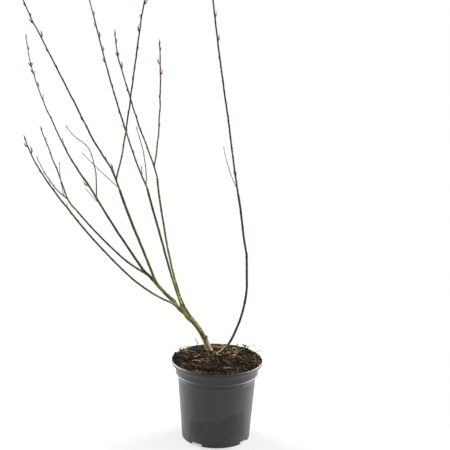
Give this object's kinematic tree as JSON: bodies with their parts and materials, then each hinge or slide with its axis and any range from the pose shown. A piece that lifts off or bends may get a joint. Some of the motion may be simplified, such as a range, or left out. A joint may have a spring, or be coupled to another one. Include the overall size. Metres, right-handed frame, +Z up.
{
  "type": "potted pussy willow",
  "caption": "Young pussy willow shrub, bare of leaves with small buds and catkins, leaning out of a round dark nursery pot filled with soil.",
  "frame": {"origin": "centre of the pot's flat underside, at the level it stands on", "axes": "+Z up the plant; -X the side that the crown leans to; -Y the front of the pot, towards the viewer"},
  "size_m": [0.5081, 0.3712, 0.9776],
  "materials": {
    "pot_plastic": "satin moulded plastic with light scuffs",
    "compost": "moist, crumbly, full of bark and fibres",
    "trunk_bark": "thin tan and olive bark with dark flecks",
    "bough_bark": "smooth dark olive-brown bark",
    "twig_bark": "smooth dark brown young bark"
  },
  "bodies": {
    "root": {"pot": "pot_plastic", "soil": "compost", "trunk": "trunk_bark", "limb_left": "trunk_bark", "limb_left_middle": "trunk_bark", "limb_left_upper": "trunk_bark", "limb_outer": "bough_bark", "bough_low": "bough_bark", "bough_mid_left": "bough_bark", "bough_left": "bough_bark", "bough_outer": "bough_bark", "bough_centre": "bough_bark", "bough_inner": "bough_bark", "stem_right_lower": "bough_bark", "stem_right_middle": "bough_bark", "stem_right_upper": "bough_bark", "twigs_left": "twig_bark", "twigs_mid_left": "twig_bark", "twigs_centre": "twig_bark", "twigs_inner": "twig_bark", "twigs_outer": "twig_bark", "twigs_low": "twig_bark", "twigs_right": "twig_bark"}
  },
  "joints": []
}
